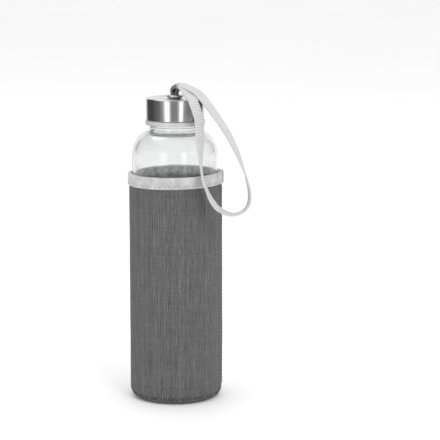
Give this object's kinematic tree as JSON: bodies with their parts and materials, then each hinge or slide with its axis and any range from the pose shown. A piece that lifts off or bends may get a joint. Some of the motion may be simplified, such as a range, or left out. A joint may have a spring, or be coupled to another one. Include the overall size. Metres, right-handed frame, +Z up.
{
  "type": "glass water bottle with sleeve",
  "caption": "Clear glass bottle in a grey fabric sleeve with a taped rim, closed by a brushed steel screw cap that carries a webbing wrist loop on a swivelling eyelet.",
  "frame": {"origin": "centre of the sleeve's base, on the surface that the bottle stands on", "axes": "+Z up along the bottle's axis, +X towards the side on which the carry loop hangs, +Y by the right-hand rule"},
  "size_m": [0.1017, 0.0688, 0.2276],
  "materials": {
    "sleeve_fabric": "matte melange knit",
    "sleeve_lining": "smooth matte knit",
    "binding_tape": "woven tape",
    "stitch_thread": "sewing thread",
    "bottle_glass": "clear",
    "seal": "translucent silicone",
    "cap_steel": "vertically brushed",
    "cap_plastic": "satin",
    "eyelet_steel": "satin",
    "webbing": "ribbed woven webbing"
  },
  "bodies": {
    "sleeve": {"sleeve_wall": "sleeve_fabric", "sleeve_base": "sleeve_fabric", "side_seam": "sleeve_fabric", "sleeve_lining": "sleeve_lining", "sleeve_base_seam": "sleeve_lining", "sleeve_binding": "binding_tape", "binding_stitch": "stitch_thread", "binding_join": "binding_tape"},
    "bottle": {"glass_bottle": "bottle_glass", "glass_neck": "bottle_glass", "neck_thread": "bottle_glass"},
    "seal": {"cap_gasket": "seal"},
    "cap": {"cap_shell": "cap_steel", "cap_lip_ring": "cap_plastic", "cap_liner": "cap_plastic", "liner_thread": "cap_plastic"},
    "eyelet": {"eyelet_rivet": "eyelet_steel", "back_washer": "eyelet_steel", "strap_crimp": "eyelet_steel", "strap_root": "webbing"},
    "carry_loop": {"strap_loop": "webbing"}
  },
  "joints": [
    {"name": "bottle_pull_out", "type": "slide", "parent": "sleeve", "child": "bottle", "axis": [0, 0, 1], "range_m": [0, 0.17]},
    {"name": "cap_rise", "type": "slide", "parent": "bottle", "child": "seal", "axis": [0, 0, 1], "range_m": [0, 0.0168]},
    {"name": "cap_turn", "type": "hinge", "parent": "seal", "child": "cap", "pos_m": [0, 0, 0.2095], "axis": [0, 0, 1], "range_deg": [0, 1440]},
    {"name": "strap_swivel", "type": "hinge", "parent": "cap", "child": "eyelet", "pos_m": [0, 0, 0.2192], "axis": [0, 0, 1], "continuous": true},
    {"name": "strap_swing", "type": "hinge", "parent": "eyelet", "child": "carry_loop", "pos_m": [0, 0, 0.2236], "axis": [0, -1, 0], "range_deg": [0, 130]}
  ],
  "couplings": [
    {"joint": "cap_rise", "follows": "cap_turn", "m_per_rad": 0.00066845}
  ]
}
